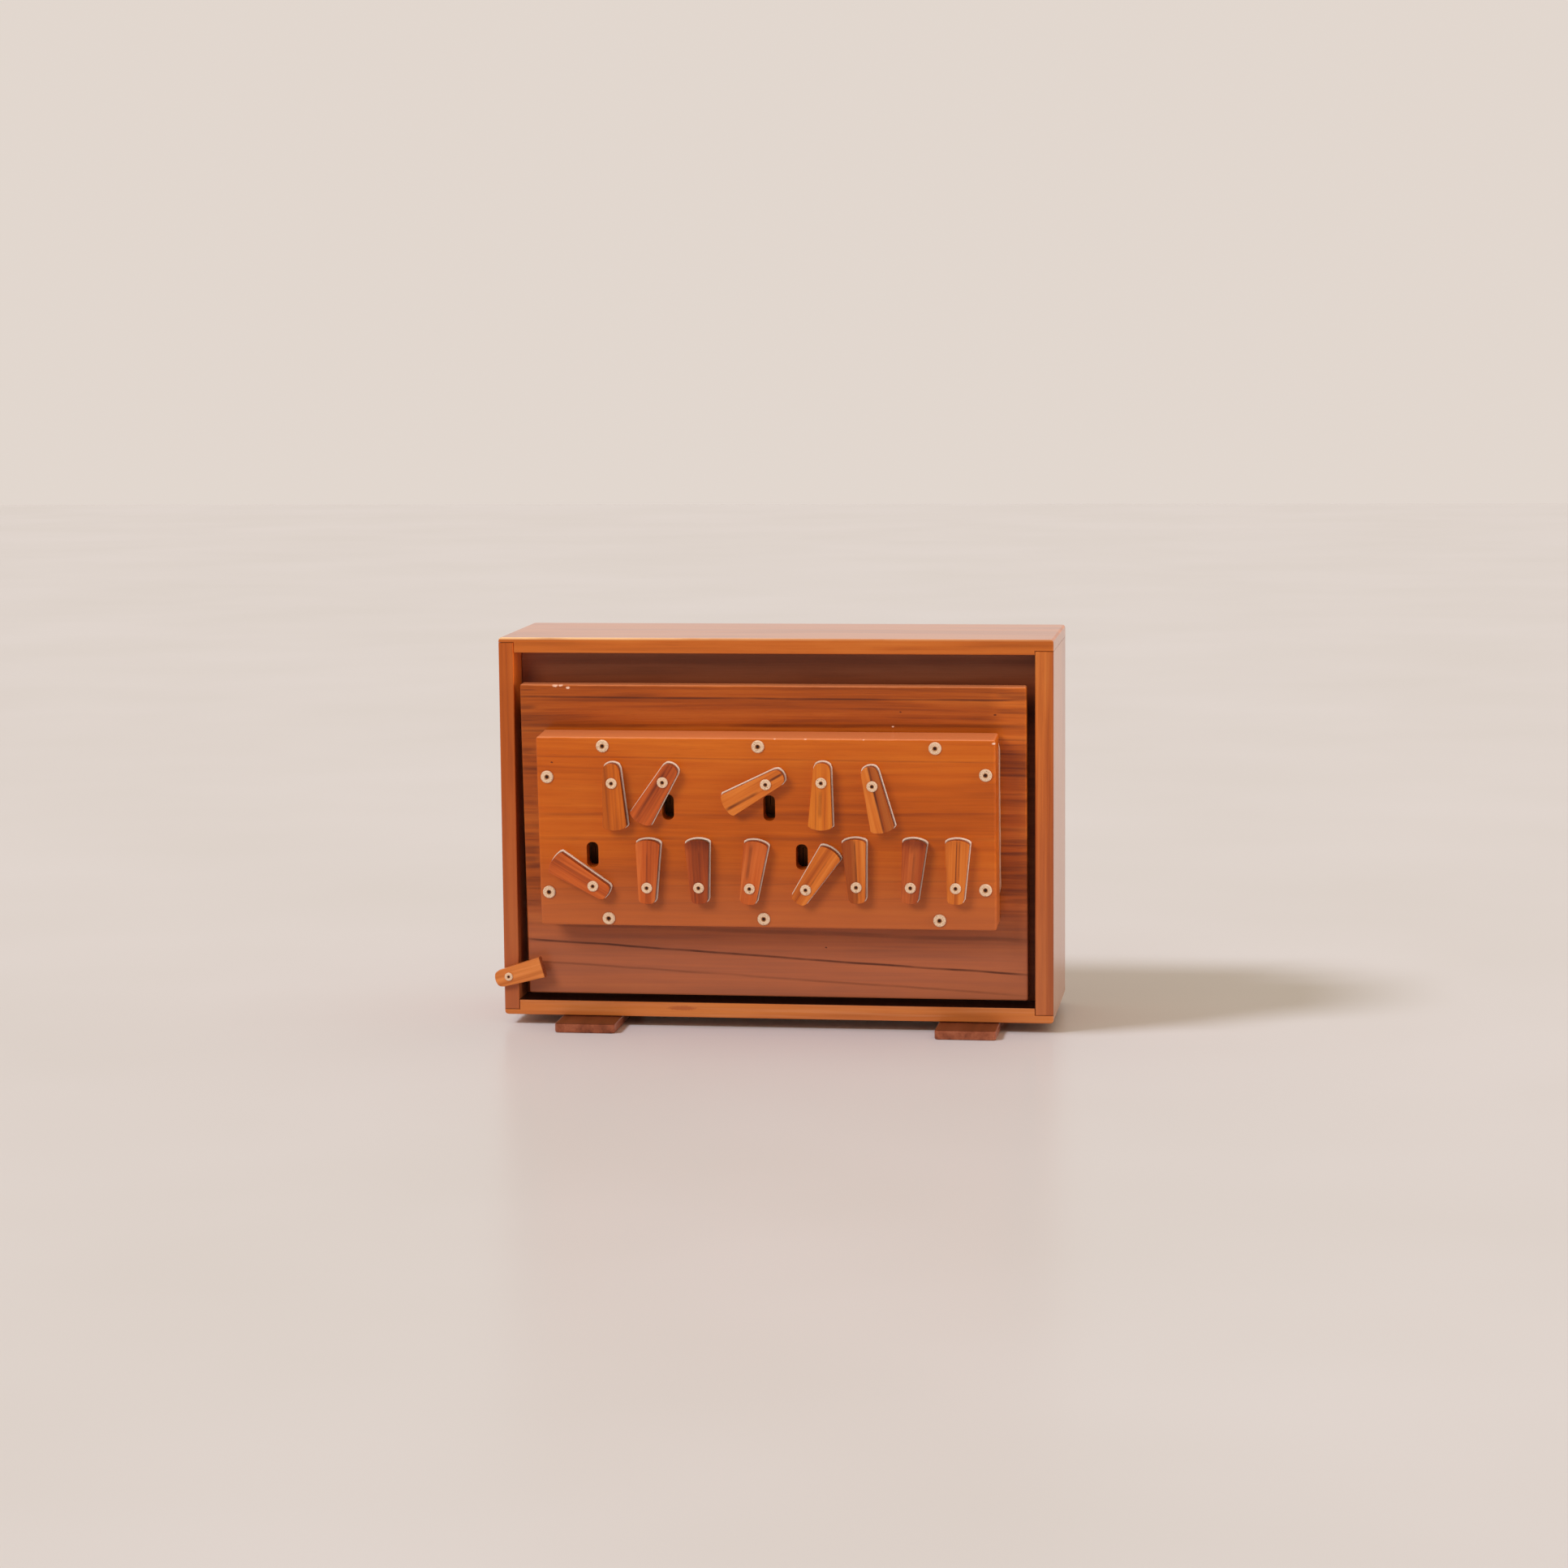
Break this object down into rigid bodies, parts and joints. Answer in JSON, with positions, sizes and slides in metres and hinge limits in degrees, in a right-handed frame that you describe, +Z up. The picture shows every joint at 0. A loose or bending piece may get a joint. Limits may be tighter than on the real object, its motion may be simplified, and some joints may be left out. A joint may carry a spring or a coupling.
{
  "type": "shruti box",
  "caption": "Hand-pumped drone organ: a hardwood frame with a sprung reservoir board, a chest of swinging tone levers, a rear pump board, turn buttons and swivel feet.",
  "frame": {"origin": "middle of the part's footprint, on the surface that the feet stand on", "axes": "+X to the right seen from the front, +Y from the front to the back, +Z up"},
  "size_m": [0.3652, 0.197, 0.2543],
  "materials": {
    "case_wood": "orange-brown varnished teak",
    "panel_wood": "red-brown varnished teak",
    "chest_wood": "orange-brown varnished teak",
    "lever_wood": "light orange varnished wood",
    "foot_wood": "dark brown, low sheen",
    "inner_wood": "dull, unvarnished",
    "pale_leather": "pale chamois",
    "dark_leather": "dark, soft",
    "brass": "pale, slightly dull",
    "steel": "spring wire"
  },
  "bodies": {
    "case": {"case_top_board": "case_wood", "case_bottom_board": "case_wood", "case_left_board": "case_wood", "case_right_board": "case_wood", "centre_board": "inner_wood", "delivery_valve_flap": "pale_leather", "reservoir_bellows": "dark_leather", "feeder_bellows": "dark_leather", "reservoir_spring": "steel", "feeder_spring": "steel", "latch_screw": "brass", "rear_latch_screw": "brass", "foot_screw_left": "steel", "foot_screw_right": "steel"},
    "reservoir": {"reservoir_board": "panel_wood", "chest_gasket": "pale_leather", "tone_chest": "chest_wood", "reed_board": "inner_wood", "chest_screw_1": "brass", "chest_screw_2": "brass", "chest_screw_3": "brass", "chest_screw_4": "brass", "chest_screw_5": "brass", "chest_screw_6": "brass", "chest_screw_7": "brass", "chest_screw_8": "brass", "chest_screw_9": "brass", "chest_screw_10": "brass", "lever_screw_upper_1": "brass", "lever_screw_upper_2": "brass", "lever_screw_upper_3": "brass", "lever_screw_upper_4": "brass", "lever_screw_upper_5": "brass", "lever_screw_lower_1": "brass", "lever_screw_lower_2": "brass", "lever_screw_lower_3": "brass", "lever_screw_lower_4": "brass", "lever_screw_lower_5": "brass", "lever_screw_lower_6": "brass", "lever_screw_lower_7": "brass", "lever_screw_lower_8": "brass"},
    "tone_upper_1": {"tone_lever_upper_1": "lever_wood"},
    "tone_upper_2": {"tone_lever_upper_2": "lever_wood"},
    "tone_upper_3": {"tone_lever_upper_3": "lever_wood"},
    "tone_upper_4": {"tone_lever_upper_4": "lever_wood"},
    "tone_upper_5": {"tone_lever_upper_5": "lever_wood"},
    "tone_lower_1": {"tone_lever_lower_1": "lever_wood"},
    "tone_lower_2": {"tone_lever_lower_2": "lever_wood"},
    "tone_lower_3": {"tone_lever_lower_3": "lever_wood"},
    "tone_lower_4": {"tone_lever_lower_4": "lever_wood"},
    "tone_lower_5": {"tone_lever_lower_5": "lever_wood"},
    "tone_lower_6": {"tone_lever_lower_6": "lever_wood"},
    "tone_lower_7": {"tone_lever_lower_7": "lever_wood"},
    "tone_lower_8": {"tone_lever_lower_8": "lever_wood"},
    "pump": {"pump_board": "panel_wood", "intake_valve_flap": "pale_leather"},
    "front_latch": {"latch_button": "lever_wood"},
    "rear_latch": {"rear_latch_button": "lever_wood"},
    "foot_left": {"foot_left": "foot_wood"},
    "foot_right": {"foot_right": "foot_wood"}
  },
  "joints": [
    {"name": "reservoir_tilt", "type": "hinge", "parent": "case", "child": "reservoir", "pos_m": [0.00162, -0.04441, 0.01971], "axis": [1, 0, 0], "range_deg": [0, 7], "stiffness_Nm_per_rad": 4, "springref_deg": -17.19, "deforming": ["reservoir_bellows", "reservoir_spring"]},
    {"name": "tone_upper_1_swing", "type": "hinge", "parent": "reservoir", "child": "tone_upper_1", "pos_m": [-0.09673, -0.09226, 0.16505], "axis": [0, 0.9976, 0.0698], "range_deg": [0, 47.6]},
    {"name": "tone_upper_2_swing", "type": "hinge", "parent": "reservoir", "child": "tone_upper_2", "pos_m": [-0.06369, -0.09232, 0.16593], "axis": [0, 0.9976, 0.0698], "range_deg": [-32, 3]},
    {"name": "tone_upper_3_swing", "type": "hinge", "parent": "reservoir", "child": "tone_upper_3", "pos_m": [0.00268, -0.09227, 0.1652], "axis": [0, 0.9976, 0.0698], "range_deg": [-60.8, 14.2]},
    {"name": "tone_upper_4_swing", "type": "hinge", "parent": "reservoir", "child": "tone_upper_4", "pos_m": [0.03823, -0.09236, 0.16652], "axis": [0, 0.9976, 0.0698], "range_deg": [-2.4, 37.6]},
    {"name": "tone_upper_5_swing", "type": "hinge", "parent": "reservoir", "child": "tone_upper_5", "pos_m": [0.07068, -0.09223, 0.16461], "axis": [0, -0.9976, -0.0698], "range_deg": [-12.6, 47.4]},
    {"name": "tone_lower_1_swing", "type": "hinge", "parent": "reservoir", "child": "tone_lower_1", "pos_m": [-0.1106, -0.08756, 0.09787], "axis": [0, -0.9976, -0.0698], "range_deg": [-58.5, 11.5]},
    {"name": "tone_lower_2_swing", "type": "hinge", "parent": "reservoir", "child": "tone_lower_2", "pos_m": [-0.07549, -0.08751, 0.09713], "axis": [0, -0.9976, -0.0698], "range_deg": [0, 32]},
    {"name": "tone_lower_3_swing", "type": "hinge", "parent": "reservoir", "child": "tone_lower_3", "pos_m": [-0.04186, -0.08754, 0.09757], "axis": [0, -0.9976, -0.0698], "range_deg": [-1.8, 26.2]},
    {"name": "tone_lower_4_swing", "type": "hinge", "parent": "reservoir", "child": "tone_lower_4", "pos_m": [-0.00897, -0.08753, 0.09743], "axis": [0, -0.9976, -0.0698], "range_deg": [0, 40.9]},
    {"name": "tone_lower_5_swing", "type": "hinge", "parent": "reservoir", "child": "tone_lower_5", "pos_m": [0.02717, -0.08751, 0.09713], "axis": [0, 0.9976, 0.0698], "range_deg": [-34, 1]},
    {"name": "tone_lower_6_swing", "type": "hinge", "parent": "reservoir", "child": "tone_lower_6", "pos_m": [0.05962, -0.08765, 0.09919], "axis": [0, 0.9976, 0.0698], "range_deg": [0, 32.8]},
    {"name": "tone_lower_7_swing", "type": "hinge", "parent": "reservoir", "child": "tone_lower_7", "pos_m": [0.09428, -0.08766, 0.09934], "axis": [0, 0.9976, 0.0698], "range_deg": [-5.6, 18.4]},
    {"name": "tone_lower_8_swing", "type": "hinge", "parent": "reservoir", "child": "tone_lower_8", "pos_m": [0.12304, -0.08766, 0.09934], "axis": [0, 0.9976, 0.0698], "range_deg": [-2.6, 47.4]},
    {"name": "pump_swing", "type": "hinge", "parent": "case", "child": "pump", "pos_m": [0.00162, 0.04861, 0.0198], "axis": [-1, 0, 0], "range_deg": [-12, 0], "stiffness_Nm_per_rad": 5, "springref_deg": 14.32, "deforming": ["feeder_bellows", "feeder_spring"]},
    {"name": "front_latch_turn", "type": "hinge", "parent": "case", "child": "front_latch", "pos_m": [-0.17298, -0.06019, 0.0324], "axis": [0, -1, 0], "range_deg": [-106, 74]},
    {"name": "rear_latch_turn", "type": "hinge", "parent": "case", "child": "rear_latch", "pos_m": [0.00262, 0.05641, 0.2478], "axis": [0, -1, 0], "range_deg": [0, 90]},
    {"name": "foot_left_swivel", "type": "hinge", "parent": "case", "child": "foot_left", "pos_m": [-0.11908, -0.02989, 0.003], "axis": [0, 0, 1], "range_deg": [0, 90]},
    {"name": "foot_right_swivel", "type": "hinge", "parent": "case", "child": "foot_right", "pos_m": [0.12802, -0.02989, 0.003], "axis": [0, 0, -1], "range_deg": [0, 90]}
  ]
}
